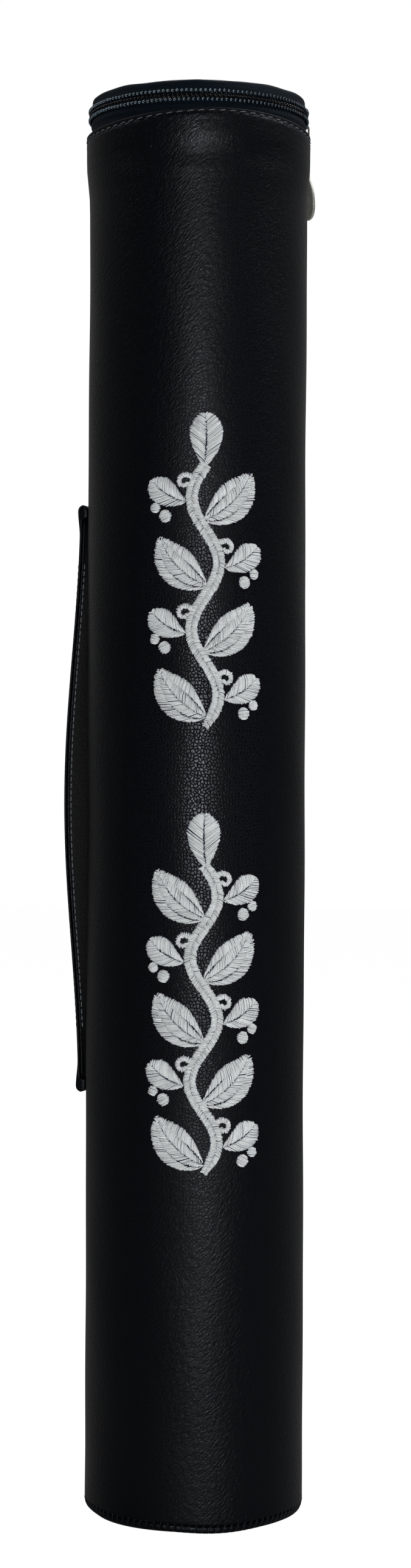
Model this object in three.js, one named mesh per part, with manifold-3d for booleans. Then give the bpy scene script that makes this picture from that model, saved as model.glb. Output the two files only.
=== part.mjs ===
// Round leather case for a rolled parchment, closed at the top by a flat lid on a coil zip.
// Millimetres, +Z up. The origin is at the centre of the base, on the tube's axis.
// The embroidered front faces -Y and the handle is on the -X side.
import * as THREE from "three";
import { mergeVertices } from "three/addons/utils/BufferGeometryUtils.js";
import Module from "manifold-3d";

const wasm = await Module();
wasm.setup();

// Overall sizes
const caseRadius = 37.5; // over the leather, below the hem
const caseHeight = 486; // base to the lid's rounded edge
const clearance = 0.3; // between pieces that touch or slide
const joinOverlap = 0.2; // how far shapes that are fused run into each other

// Tube, leather skin and lining
const leatherThickness = 1.3;
const tubeWall = 1.6;
const liningThickness = 0.6;
const hemThickness = 1.6; // the leather is turned over at the rim
const hemHeight = 12; // full width of the turned hem
const hemTaper = 14; // length over which the skin widens to the hem
const hemEdgeRadius = 0.8;
const footEdgeRadius = 0.8; // rolled lower edge of the skin
const lapWidth = 9; // glued lap of the skin at the back
const lapStep = 0.7;
const lapEdge = 0.5; // length of the step at the lap's cut edge

// Base
const bottomCoverThickness = 2.4;
const bottomCoverInset = 0.6; // its edge lies behind the skin's face
const bottomCoverEdgeRadius = 1.1;
const bottomBoardThickness = 2.5;
const bottomLiningThickness = 1;

// Zip chain, measured from its centre line, which runs round the rim
const chainDrop = 5.8; // below the lid's rounded edge
const toothPitch = 1.58;
const toothDepth = 0.7; // radial
const toothReach = 0.6; // how far a tooth passes the centre line
const toothNeckWidth = 0.34;
const toothHeadWidth = 0.72;
const rowBaseGap = 1.15; // centre line to the solid base of a row
const rowBaseWidth = 0.85;
const rowSplit = 1.25; // how far the slider's post drives each row back
const tapeThickness = 0.5;
const tapeHalfGap = 0.85; // centre line to a tape's edge
const tapeDepth = 15.5; // centre line to the lower tape's glued edge

// Zip slider
const sliderRampStart = -2; // along the chain, from the slider's middle
const sliderRampLength = 3;
const sliderPlateThickness = 0.8;
const sliderFlangeThickness = 0.5;
const sliderFlangeGap = 0.25; // running gap beside the rows
const sliderFlangeHalfLength = 4.3;
const sliderPlateHalfLength = 5.2;
const sliderPlateNose = 1.6; // length of the plates' rounded ends
const plateTipShare = 0.5; // the plates' height at their tips, of their full height
const postHalfWidth = 0.35;
const postLength = 3;
const bridgeHalfLength = 3.7;
const bridgeBarThickness = 0.7;
const bridgeBarHalfWidth = 0.45;

// Crimped zip stops
const stopLength = 1.6;
const stopWallThickness = 0.6;
const stopWebThickness = 0.4;
const stopHeight = 2;

// Pull ring and pull
const ringWireRadius = 0.35;
const ringInnerWidth = 1.6;
const ringRise = 1.1; // wire's top centre above the bridge bar
const ringDrop = 6.5; // wire's bottom centre below the bridge bar
const pullThickness = 1;
const pullEyeRadius = 1.05;
const pullEyeWall = 1;
const pullStemHalfWidth = 1.7;
const pullStemLength = 10.5;
const pullBladeHalfWidth = 5.2;
const pullBladeLength = 9;
const pullLength = 25.3; // eye centre to the rounded end
const pullBevel = 0.2;

// Lid
const lidEdgeRadius = 1.8; // rounded edge of the tape turned over the board
const lidTapeTurn = 5.5; // width of the turned tape on top of the lid
const lidBoardThickness = 1;
const lidBoardEdgeRadius = 0.6;
const lidInnerDiscThickness = 1.3;
const lidCoverThickness = 1;
const lidCoverCrown = 0.4;

// Strap handle
const strapLength = 203;
const strapRise = 5.1; // strap's middle above the tube's middle
const strapHalfWidth = 12.5;
const strapLeatherThickness = 0.8;
const strapLiningHalfWidth = 11.5;
const strapEndLift = 1.5; // gap to the skin beside the rolled ends
const strapBow = 4.5; // further gap at the middle
const strapFlatteningShare = 0.6; // how much of the tube's curve the strap loses at its middle
const strapRollThickness = 3.9;
const strapRollLength = 4.2;
const strapRollTaper = 7;

// Angles in degrees round the axis, from +X towards +Y
const hingeAngle = 66;
const hingeHalfAngle = 32;
const handleAngle = 158;
const pullTilt = 2.9; // the pull leans out from the case
const pullEyeOpening = 30; // where the eye's round edge meets the stem, below its centre

// Counts
const roundSteps = 52;
const zipSteps = 40;
const hingeSteps = 10;
const cornerSteps = 3;
const strapSteps = 26;
const strapSectionSteps = 5;
const ringEndSteps = 6;
const ringSides = 6;
const bridgeSteps = 10;
const sliderSteps = 12;
const pullCurveSteps = 8;
const lidCrownSteps = 3;

// Radii of the stacked layers, from the outside in
const skinInnerRadius = caseRadius - leatherThickness;
const tubeOuterRadius = skinInnerRadius - clearance;
const tubeInnerRadius = tubeOuterRadius - tubeWall;
const liningOuterRadius = tubeInnerRadius - clearance;
const liningInnerRadius = liningOuterRadius - liningThickness;
const tapeInnerRadius = tubeOuterRadius + clearance;
const tapeOuterRadius = tapeInnerRadius + tapeThickness;
const hemInnerRadius = tapeOuterRadius + clearance;
const hemOuterRadius = hemInnerRadius + hemThickness;
const toothInnerRadius = tapeOuterRadius + clearance;
const toothOuterRadius = toothInnerRadius + toothDepth;
const chainRadius = (toothInnerRadius + toothOuterRadius) / 2;

// Heights
const chainHeight = caseHeight - chainDrop;
const splitRowHalfHeight = rowBaseGap + rowBaseWidth + rowSplit;
const sliderHalfHeight = splitRowHalfHeight + sliderFlangeGap + sliderFlangeThickness;
const hemTop = chainHeight - sliderHalfHeight - clearance;
const hemFullBottom = hemTop - hemHeight;
const hemTaperBottom = hemFullBottom - hemTaper;
const skinBottom = bottomCoverThickness + clearance;
const bottomBoardTop = skinBottom + bottomBoardThickness;
const liningBottom = bottomBoardTop + clearance;
const lidBoardBottom = chainHeight + sliderHalfHeight + clearance;
const lidBoardTop = lidBoardBottom + lidBoardThickness;
const lidTapeInnerTop = lidBoardTop + clearance;

// Angles along the zip, as radians
const radians = THREE.MathUtils.degToRad;
const fullTurn = 2 * Math.PI;
const zipEnd = radians(hingeAngle - hingeHalfAngle);
const zipStart = radians(hingeAngle + hingeHalfAngle) - fullTurn;
const jointGapAngle = clearance / chainRadius;
const stopAngle = stopLength / chainRadius;
const sliderReachAngle = (sliderPlateHalfLength + clearance) / chainRadius;
const sliderAngle = zipEnd - jointGapAngle - stopAngle - sliderReachAngle;

// A point from its angle round the axis, its radius and its height
function around(angle, radius, height) {
  return new THREE.Vector3(radius * Math.cos(angle), radius * Math.sin(angle), height);
}

// A point on the slider: along the chain, above its centre line, and at a radius
function onSlider(along, above, radius) {
  return around(sliderAngle + along / chainRadius, radius, chainHeight + above);
}

// Evenly spaced values from one to another, both included
function spread(from, to, steps) {
  return Array.from({ length: steps + 1 }, (_, i) => from + ((to - from) * i) / steps);
}

function faceOutwards(geometry) {
  const points = geometry.getAttribute("position");
  const index = geometry.index.array;
  const [a, b, c] = [new THREE.Vector3(), new THREE.Vector3(), new THREE.Vector3()];
  let volume = 0;
  for (let i = 0; i < index.length; i += 3) {
    a.fromBufferAttribute(points, index[i]);
    b.fromBufferAttribute(points, index[i + 1]);
    c.fromBufferAttribute(points, index[i + 2]);
    volume += a.dot(b.cross(c));
  }
  if (volume < 0) index.reverse();
  return geometry;
}

function meshGeometry(points, index) {
  const geometry = new THREE.BufferGeometry().setFromPoints(points);
  geometry.setIndex(index);
  return faceOutwards(geometry);
}

// A closed solid through rings of points that all have the same count. A loop's last ring joins its
// first. Otherwise both ends are capped, with flat as the ring's outline in its own plane.
function loft(rings, flat) {
  const count = rings[0].length;
  const spans = flat ? rings.length - 1 : rings.length;
  const index = [];
  for (let i = 0; i < spans; i++) {
    const next = ((i + 1) % rings.length) * count;
    for (let j = 0; j < count; j++) {
      const k = (j + 1) % count;
      index.push(i * count + j, i * count + k, next + k);
      index.push(i * count + j, next + k, next + j);
    }
  }
  if (flat) {
    const sameWay = THREE.ShapeUtils.isClockWise(flat) ? -1 : 1;
    const end = spans * count;
    for (const [p, q, r] of THREE.ShapeUtils.triangulateShape(flat, [])) {
      const turn = Math.sign(THREE.ShapeUtils.area([flat[p], flat[q], flat[r]])) * sameWay;
      const [s, t] = turn > 0 ? [q, r] : [r, q];
      index.push(t, s, p);
      index.push(end + p, end + s, end + t);
    }
  }
  return meshGeometry(rings.flat(), index);
}

// A profile of (radius, height) points swept round the axis. A full turn closes on itself.
function sweepRound(profile, from, to, steps) {
  const full = to - from >= fullTurn;
  const angles = spread(from, to, steps).slice(0, full ? steps : steps + 1);
  const rings = angles.map((angle) => profile.map((p) => around(angle, p.x, p.y)));
  return loft(rings, full ? null : profile);
}

const profileOf = (...pairs) => pairs.map(([radius, height]) => new THREE.Vector2(radius, height));

// A disc or another solid whose profile starts and ends on the axis
function turned(profile, steps) {
  const geometry = new THREE.LatheGeometry(profile, steps).rotateX(Math.PI / 2);
  return faceOutwards(geometry);
}

// Points of a rounded corner, from one angle to another in degrees
function corner(radius, height, rounding, fromDegrees, toDegrees) {
  return spread(radians(fromDegrees), radians(toDegrees), cornerSteps).map((angle) => [
    radius + rounding * Math.cos(angle),
    height + rounding * Math.sin(angle),
  ]);
}

function solidOf(geometry) {
  const bare = geometry.clone();
  for (const name of Object.keys(bare.attributes)) if (name !== "position") bare.deleteAttribute(name);
  const merged = mergeVertices(bare);
  const vertProperties = merged.getAttribute("position").array;
  return new wasm.Manifold(new wasm.Mesh({ numProp: 3, vertProperties, triVerts: merged.index.array }));
}

function fused(...geometries) {
  const joined = geometries.map(solidOf).reduce((sum, part) => sum.add(part));
  const { vertProperties, triVerts } = joined.getMesh();
  const geometry = new THREE.BufferGeometry();
  geometry.setAttribute("position", new THREE.BufferAttribute(vertProperties, 3));
  geometry.setIndex(new THREE.BufferAttribute(triVerts, 1));
  return geometry;
}

// Materials
const finish = (color, roughness, metalness = 0) =>
  new THREE.MeshStandardMaterial({ color, roughness, metalness });
const blackLeather = finish(0x17181b, 0.55);
const navyTape = finish(0x10141f, 0.9);
const coilNylon = finish(0x141a26, 0.45);
const greyBoard = finish(0x9a917f, 0.9);
const liningCloth = finish(0x1c2440, 0.85);
const satinNickel = finish(0x8a8880, 0.35, 0.9);

const model = new THREE.Group();
function add(parent, name, geometry, material) {
  const mesh = new THREE.Mesh(geometry, material);
  mesh.name = name;
  parent.add(mesh);
  return mesh;
}

// Case body
const caseBody = new THREE.Group();
model.add(caseBody);

const tubeProfile = profileOf(
  [tubeInnerRadius, skinBottom],
  [tubeOuterRadius, skinBottom],
  [tubeOuterRadius, hemTop],
  [tubeInnerRadius, hemTop],
);
add(caseBody, "tube_core", sweepRound(tubeProfile, 0, fullTurn, roundSteps), greyBoard);

const liningProfile = profileOf(
  [liningInnerRadius, liningBottom],
  [liningOuterRadius, liningBottom],
  [liningOuterRadius, hemTop],
  [liningInnerRadius, hemTop],
);
add(caseBody, "inner_lining", sweepRound(liningProfile, 0, fullTurn, roundSteps), liningCloth);

// The skin hugs the tube and widens near the rim, where the zip tape lies between them
const skinOuterFace = profileOf(
  ...corner(caseRadius - footEdgeRadius, skinBottom + footEdgeRadius, footEdgeRadius, -90, 0),
  [caseRadius, hemTaperBottom],
  [(caseRadius + hemOuterRadius) / 2, hemTaperBottom + hemTaper / 2],
  [hemOuterRadius, hemFullBottom],
  ...corner(hemOuterRadius - hemEdgeRadius, hemTop - hemEdgeRadius, hemEdgeRadius, 0, 90),
);
const skinInnerFace = profileOf(
  [hemInnerRadius, hemTop],
  [hemInnerRadius, hemFullBottom - clearance],
  [skinInnerRadius, hemTaperBottom],
  [skinInnerRadius, skinBottom],
);

// The skin's lap at the back rises by a step at its cut edge and thins out behind it
function lapLift(along) {
  if (along > lapWidth) return 0;
  return lapStep * THREE.MathUtils.smoothstep(along, 0, lapEdge) * (1 - along / lapWidth);
}

function skinSolid() {
  const girth = fullTurn * caseRadius;
  const fromLap = [0, lapEdge, lapWidth / 2, ...spread(lapWidth, girth, roundSteps).slice(0, -1)];
  const rings = fromLap.map((along) => {
    const angle = radians(hingeAngle) + along / caseRadius;
    const outer = skinOuterFace.map((p) => around(angle, p.x + lapLift(along), p.y));
    const inner = skinInnerFace.map((p) => around(angle, p.x, p.y));
    return [...outer, ...inner];
  });
  return loft(rings, null);
}
add(caseBody, "leather_wrap", skinSolid(), blackLeather);

const coverRadius = caseRadius - bottomCoverInset;
const bottomCoverProfile = profileOf(
  [0, 0],
  ...corner(coverRadius - bottomCoverEdgeRadius, bottomCoverEdgeRadius, bottomCoverEdgeRadius, -90, 0),
  [coverRadius, bottomCoverThickness],
  [0, bottomCoverThickness],
);
add(caseBody, "bottom_cover", turned(bottomCoverProfile, roundSteps), blackLeather);

const bottomBoardRadius = tubeInnerRadius - clearance;
const bottomBoardProfile = profileOf(
  [0, skinBottom],
  [bottomBoardRadius, skinBottom],
  [bottomBoardRadius, bottomBoardTop],
  [0, bottomBoardTop],
);
add(caseBody, "bottom_board", turned(bottomBoardProfile, roundSteps), greyBoard);

const bottomLiningRadius = liningInnerRadius - clearance;
const bottomLiningProfile = profileOf(
  [0, liningBottom],
  [bottomLiningRadius, liningBottom],
  [bottomLiningRadius, liningBottom + bottomLiningThickness],
  [0, liningBottom + bottomLiningThickness],
);
add(caseBody, "bottom_lining", turned(bottomLiningProfile, roundSteps), liningCloth);

// Zip tapes and hinge bands share one ring: the tapes take the zip's arc and the bands the rest
const tapeEdge = { lower: chainHeight - tapeHalfGap, upper: chainHeight + tapeHalfGap };
const lowerBand = (top) =>
  profileOf(
    [tapeInnerRadius, chainHeight - tapeDepth],
    [tapeOuterRadius, chainHeight - tapeDepth],
    [tapeOuterRadius, top],
    [tapeInnerRadius, top],
  );
const hingeStart = zipEnd + jointGapAngle;
const hingeStop = zipStart + fullTurn - jointGapAngle;
const lowerTape = sweepRound(lowerBand(tapeEdge.lower), zipStart, zipEnd, zipSteps);
add(caseBody, "lower_zip_tape", lowerTape, navyTape);
const lowerHinge = sweepRound(lowerBand(chainHeight - clearance), hingeStart, hingeStop, hingeSteps);
add(caseBody, "hinge_case_side", lowerHinge, blackLeather);

// One row of interlocking teeth as a comb wrapped round the rim. Side is 1 above and -1 below.
const toothStart = zipStart + jointGapAngle + stopAngle + jointGapAngle;
const toothEnd = zipEnd - jointGapAngle - stopAngle - jointGapAngle;
const rowLength = (toothEnd - toothStart) * chainRadius;
const rowStagger = toothPitch / 2; // the upper row's teeth lie between the lower row's
const toothCount = Math.floor((rowLength - rowStagger) / toothPitch);

function rowShift(angle) {
  const along = (angle - sliderAngle) * chainRadius - sliderRampStart;
  return rowSplit * THREE.MathUtils.smoothstep(along, 0, sliderRampLength);
}

function toothRow(side) {
  const firstShift = side > 0 ? rowStagger : 0;
  const neckStart = (toothPitch - toothNeckWidth) / 2;
  const headStart = (toothPitch - toothHeadWidth) / 2;
  // One cell as (along, towards the other row): base corner, base edge, neck, head, head, neck
  const cell = [
    [0, -rowBaseGap - rowBaseWidth],
    [0, -rowBaseGap],
    [neckStart, -rowBaseGap],
    [headStart, toothReach],
    [toothPitch - headStart, toothReach],
    [toothPitch - neckStart, -rowBaseGap],
  ];
  const points = [];
  for (let i = 0; i <= toothCount; i++) {
    const cellPoints = i < toothCount ? cell : cell.slice(0, 2);
    for (const [along, reach] of cellPoints) {
      const angle = toothStart + (firstShift + i * toothPitch + along) / chainRadius;
      const height = chainHeight - side * (reach - rowShift(angle));
      points.push(around(angle, toothInnerRadius, height), around(angle, toothOuterRadius, height));
    }
  }
  // Even places are on the inner face and odd ones on the outer face
  const index = [];
  const triangle = (a, b, c) => {
    index.push(2 * a, 2 * b, 2 * c);
    index.push(2 * a + 1, 2 * c + 1, 2 * b + 1);
  };
  const wall = (a, b) => index.push(2 * a, 2 * a + 1, 2 * b + 1, 2 * a, 2 * b + 1, 2 * b);
  for (let i = 0; i < toothCount; i++) {
    const [base, edge, neckA, headA, headB, neckB] = cell.map((_, j) => i * cell.length + j);
    const [nextBase, nextEdge] = [base + cell.length, edge + cell.length];
    triangle(base, edge, neckA);
    triangle(base, neckA, neckB);
    triangle(base, neckB, nextEdge);
    triangle(base, nextEdge, nextBase);
    triangle(neckA, headA, headB);
    triangle(neckA, headB, neckB);
    const toothSide = [edge, neckA, headA, headB, neckB, nextEdge];
    for (let j = 1; j < toothSide.length; j++) wall(toothSide[j - 1], toothSide[j]);
    wall(nextBase, base);
  }
  wall(0, 1);
  wall(toothCount * cell.length + 1, toothCount * cell.length);
  return meshGeometry(points, index);
}
add(caseBody, "lower_zip_teeth", toothRow(-1), coilNylon);

// Crimped stops. The single stop spans both rows where the zip starts, and one sits on each row's end.
const stopOuterRadius = toothInnerRadius + stopWallThickness;
const stopInnerRadius = tapeInnerRadius - clearance - stopWallThickness;
const webHalfHeight = tapeHalfGap - clearance;
const startStopProfile = profileOf(
  [stopInnerRadius, chainHeight - stopHeight],
  [stopInnerRadius + stopWallThickness, chainHeight - stopHeight],
  [stopInnerRadius + stopWallThickness, chainHeight - webHalfHeight],
  [toothInnerRadius, chainHeight - webHalfHeight],
  [toothInnerRadius, chainHeight - stopHeight],
  [stopOuterRadius, chainHeight - stopHeight],
  [stopOuterRadius, chainHeight + stopHeight],
  [toothInnerRadius, chainHeight + stopHeight],
  [toothInnerRadius, chainHeight + webHalfHeight],
  [stopInnerRadius + stopWallThickness, chainHeight + webHalfHeight],
  [stopInnerRadius + stopWallThickness, chainHeight + stopHeight],
  [stopInnerRadius, chainHeight + stopHeight],
);
const startStopFrom = zipStart + jointGapAngle;
const startStop = sweepRound(startStopProfile, startStopFrom, startStopFrom + stopAngle, 1);
add(caseBody, "zip_stop_start", startStop, satinNickel);

function endStop(side) {
  const tip = side * (webHalfHeight - stopWebThickness);
  const web = side * webHalfHeight;
  const foot = side * (webHalfHeight + stopHeight);
  const profile = profileOf(
    [stopInnerRadius, chainHeight + foot],
    [stopInnerRadius, chainHeight + tip],
    [stopOuterRadius, chainHeight + tip],
    [stopOuterRadius, chainHeight + foot],
    [toothInnerRadius, chainHeight + foot],
    [toothInnerRadius, chainHeight + web],
    [stopInnerRadius + stopWallThickness, chainHeight + web],
    [stopInnerRadius + stopWallThickness, chainHeight + foot],
  );
  return sweepRound(profile, zipEnd - jointGapAngle - stopAngle, zipEnd - jointGapAngle, 1);
}
add(caseBody, "zip_stop_lower", endStop(-1), satinNickel);

// Strap handle: the outer strip's ends are rolled under and sewn down, the lining strip lies between them
const strapMiddle = chainHeight / 2 + strapRise;

// Share of the way along the strap at a distance from its upper end, as a half wave
const strapWave = (fromEnd) => Math.sin((Math.PI * fromEnd) / strapLength) ** 2;

function strapPoint(fromEnd, across, above) {
  const wave = strapWave(fromEnd);
  const bend = (1 - strapFlatteningShare * wave) / caseRadius;
  const radius = caseRadius + above - (bend * across * across) / 2;
  const out = new THREE.Vector3(radius, across, strapMiddle + strapLength / 2 - fromEnd);
  return out.applyAxisAngle(new THREE.Vector3(0, 0, 1), radians(handleAngle));
}

// A strip whose lower and upper faces stand above the skin by the given heights
function strip(halfWidth, stations, lowerFace, upperFace) {
  const across = spread(-halfWidth, halfWidth, strapSectionSteps);
  const section = [...across.map((s) => [s, 0]), ...across.toReversed().map((s) => [s, 1])];
  const rings = stations.map((d) =>
    section.map(([s, face]) => strapPoint(d, s, face ? upperFace(d) : lowerFace(d))),
  );
  return loft(rings, section.map(([s, face]) => new THREE.Vector2(s, face * strapRollThickness)));
}

const strapGap = (fromEnd) => strapEndLift + strapBow * strapWave(fromEnd);
const liningTop = (fromEnd) => strapGap(fromEnd) + strapLeatherThickness;
const outerBottom = (fromEnd) => liningTop(fromEnd) + clearance;
const fromNearEnd = (fromEnd) => Math.min(fromEnd, strapLength - fromEnd);

function rollTop(fromEnd) {
  const near = fromNearEnd(fromEnd);
  const roll = strapRollThickness / 2;
  const middle = clearance + roll;
  if (near < roll) return middle + Math.sqrt(roll * roll - (roll - near) ** 2);
  const flat = outerBottom(fromEnd) + strapLeatherThickness;
  const blend = THREE.MathUtils.smoothstep(near, strapRollLength / 2, strapRollLength + strapRollTaper);
  return THREE.MathUtils.lerp(clearance + strapRollThickness, flat, blend);
}

function rollBottom(fromEnd) {
  const near = fromNearEnd(fromEnd);
  const roll = strapRollThickness / 2;
  if (near < roll) return clearance + roll - Math.sqrt(roll * roll - (roll - near) ** 2);
  return near > strapRollLength ? outerBottom(fromEnd) : clearance;
}

const rollTipShares = [0.02, 0.2, 0.6, 1];
const nearEndStations = [
  ...rollTipShares.map((share) => (share * strapRollThickness) / 2),
  strapRollLength,
  strapRollLength + clearance,
  strapRollLength + strapRollTaper / 2,
];
const bowStart = strapRollLength + strapRollTaper;
const bowStations = spread(bowStart, strapLength - bowStart, strapSteps);
const farEndStations = nearEndStations.map((d) => strapLength - d).toReversed();
const strapStations = [...nearEndStations, ...bowStations, ...farEndStations];
add(caseBody, "handle_strap", strip(strapHalfWidth, strapStations, rollBottom, rollTop), blackLeather);

const liningInset = strapRollLength + 2 * clearance;
const liningStations = [liningInset, ...bowStations, strapLength - liningInset];
const strapLining = strip(strapLiningHalfWidth, liningStations, strapGap, liningTop);
add(caseBody, "handle_strap_lining", strapLining, blackLeather);

// Lid
const lid = new THREE.Group();
model.add(lid);

const lidBoardRadius = tapeInnerRadius - clearance;
const lidBoardFlatRadius = lidBoardRadius - lidBoardEdgeRadius;
const lidBoardProfile = profileOf(
  [0, lidBoardBottom],
  [lidBoardRadius, lidBoardBottom],
  ...corner(lidBoardFlatRadius, lidBoardTop - lidBoardEdgeRadius, lidBoardEdgeRadius, 0, 90),
  [0, lidBoardTop],
);
add(lid, "lid_board", turned(lidBoardProfile, roundSteps), greyBoard);

const lidInnerDiscRadius = tubeInnerRadius - clearance;
const lidInnerDiscTop = lidBoardBottom - clearance;
const lidInnerDiscProfile = profileOf(
  [0, lidInnerDiscTop - lidInnerDiscThickness],
  [lidInnerDiscRadius, lidInnerDiscTop - lidInnerDiscThickness],
  [lidInnerDiscRadius, lidInnerDiscTop],
  [0, lidInnerDiscTop],
);
add(lid, "lid_inner_disc", turned(lidInnerDiscProfile, roundSteps), liningCloth);

// The upper tape and the lid's hinge band stand round the board and turn in over its edge
const turnedEdgeRadius = tapeOuterRadius - lidTapeTurn;
const upperBand = (bottom) =>
  profileOf(
    [tapeInnerRadius, bottom],
    [tapeOuterRadius, bottom],
    ...corner(tapeOuterRadius - lidEdgeRadius, caseHeight - lidEdgeRadius, lidEdgeRadius, 0, 90),
    [turnedEdgeRadius, caseHeight],
    [turnedEdgeRadius, lidTapeInnerTop],
    [tapeOuterRadius - lidEdgeRadius, lidTapeInnerTop],
    [tapeInnerRadius, lidTapeInnerTop - lidBoardEdgeRadius],
  );
add(lid, "upper_zip_tape", sweepRound(upperBand(tapeEdge.upper), zipStart, zipEnd, zipSteps), navyTape);
const upperHinge = sweepRound(upperBand(chainHeight + clearance), hingeStart, hingeStop, hingeSteps);
add(lid, "hinge_lid_side", upperHinge, blackLeather);

const lidCoverRadius = turnedEdgeRadius - clearance;
const lidCoverTop = lidTapeInnerTop + lidCoverThickness;
const lidCrown = spread(lidCoverRadius, 0, lidCrownSteps).map((radius) => [
  radius,
  lidCoverTop + lidCoverCrown * (1 - (radius / lidCoverRadius) ** 2),
]);
const lidCoverProfile = profileOf([0, lidTapeInnerTop], [lidCoverRadius, lidTapeInnerTop], ...lidCrown);
add(lid, "lid_cover", turned(lidCoverProfile, roundSteps), blackLeather);
add(lid, "upper_zip_teeth", toothRow(1), coilNylon);
add(lid, "zip_stop_upper", endStop(1), satinNickel);

// Zip slider: two plates with a post between them, flanges that hold the rows, and a bridge
const frontPlateInner = toothOuterRadius + clearance;
const frontPlateOuter = frontPlateInner + sliderPlateThickness;
const backPlateOuter = tapeInnerRadius - clearance;
const backPlateInner = backPlateOuter - sliderPlateThickness;
const flangeTipRadius = tapeOuterRadius + clearance;

const boxRing = (along, low, high, inner, outer) => [
  onSlider(along, low, inner),
  onSlider(along, high, inner),
  onSlider(along, high, outer),
  onSlider(along, low, outer),
];
const boxOutline = profileOf([0, 0], [0, 1], [1, 1], [1, 0]);

// Half height of the channel between the flanges: it widens where the rows part
function channelHalfHeight(along) {
  const parted = THREE.MathUtils.smoothstep(along, sliderRampStart, sliderRampStart + sliderRampLength);
  return rowBaseGap + rowBaseWidth + rowSplit * parted + sliderFlangeGap;
}

// The plates cover the flanges and are rounded at both ends
function plateHalfHeight(along) {
  const past = Math.max(0, Math.abs(along) - sliderPlateHalfLength + sliderPlateNose) / sliderPlateNose;
  const share = Math.sqrt(1 - past ** 2 * (1 - plateTipShare ** 2));
  return (channelHalfHeight(along) + sliderFlangeThickness) * share;
}

function plate(inner, outer) {
  const rings = spread(-sliderPlateHalfLength, sliderPlateHalfLength, sliderSteps).map((along) =>
    boxRing(along, -plateHalfHeight(along), plateHalfHeight(along), inner, outer),
  );
  return loft(rings, boxOutline);
}

function flange(side) {
  const outerRadius = frontPlateInner + joinOverlap;
  const rings = spread(-sliderFlangeHalfLength, sliderFlangeHalfLength, sliderSteps).map((along) => {
    const inside = channelHalfHeight(along);
    const outside = Math.min(inside + sliderFlangeThickness, plateHalfHeight(along));
    return boxRing(along, side * inside, side * outside, flangeTipRadius, outerRadius);
  });
  return loft(rings, boxOutline);
}

function post() {
  const start = sliderRampStart + sliderRampLength + joinOverlap;
  const widthShares = [0.2, 1, 1, 0.6];
  const rings = widthShares.map((share, i) => {
    const along = start + (postLength * i) / (widthShares.length - 1);
    const half = share * postHalfWidth;
    return boxRing(along, -half, half, backPlateOuter - joinOverlap, frontPlateInner + joinOverlap);
  });
  return loft(rings, boxOutline);
}

// The bridge is an arch over the front plate that the pull ring goes round
const bridgeInnerRise = clearance + 2 * ringWireRadius + clearance;
const bridgeBarRadius = frontPlateOuter + bridgeInnerRise + bridgeBarThickness / 2;
function bridge() {
  const foot = frontPlateOuter - joinOverlap;
  const innerHalfLength = bridgeHalfLength - bridgeBarThickness;
  const innerRise = bridgeInnerRise + joinOverlap;
  const outerRise = innerRise + bridgeBarThickness;
  const rings = spread(0, Math.PI, bridgeSteps).map((turn) => {
    const arch = (halfLength, rise, above) =>
      onSlider(-halfLength * Math.cos(turn), above, foot + rise * Math.sqrt(Math.sin(turn)));
    return [
      arch(innerHalfLength, innerRise, -bridgeBarHalfWidth),
      arch(innerHalfLength, innerRise, bridgeBarHalfWidth),
      arch(bridgeHalfLength, outerRise, bridgeBarHalfWidth),
      arch(bridgeHalfLength, outerRise, -bridgeBarHalfWidth),
    ];
  });
  return loft(rings, boxOutline);
}

const sliderSolid = fused(
  plate(frontPlateInner, frontPlateOuter),
  plate(backPlateInner, backPlateOuter),
  flange(1),
  flange(-1),
  post(),
  bridge(),
);
add(model, "zip_slider", sliderSolid, satinNickel);

// Pull, in a frame on the bridge bar: x along the zip, y up and z out from the case
const pullFrame = new THREE.Group();
const outwards = around(sliderAngle, 1, 0);
const up = new THREE.Vector3(0, 0, 1);
const alongChain = up.clone().cross(outwards);
pullFrame.position.copy(onSlider(0, 0, bridgeBarRadius));
pullFrame.quaternion.setFromRotationMatrix(new THREE.Matrix4().makeBasis(alongChain, up, outwards));
model.add(pullFrame);

// The ring is an oval of wire round the bar, in the plane across the zip
const ringHalfWidth = ringInnerWidth / 2 + ringWireRadius;
const ringMiddle = frontPlateOuter + clearance + ringWireRadius + ringHalfWidth - bridgeBarRadius;
function ringSection(turn, bendHeight) {
  return spread(0, fullTurn, ringSides)
    .slice(0, ringSides)
    .map((side) => {
      const reach = ringHalfWidth + ringWireRadius * Math.cos(side);
      return new THREE.Vector3(
        ringWireRadius * Math.sin(side),
        bendHeight + reach * Math.sin(turn),
        ringMiddle + reach * Math.cos(turn),
      );
    });
}
const ringRings = [
  ...spread(0, Math.PI, ringEndSteps).map((turn) => ringSection(turn, ringRise - ringHalfWidth)),
  ...spread(Math.PI, fullTurn, ringEndSteps).map((turn) => ringSection(turn, ringHalfWidth - ringDrop)),
];
add(pullFrame, "pull_ring", loft(ringRings, null), satinNickel);

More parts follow.
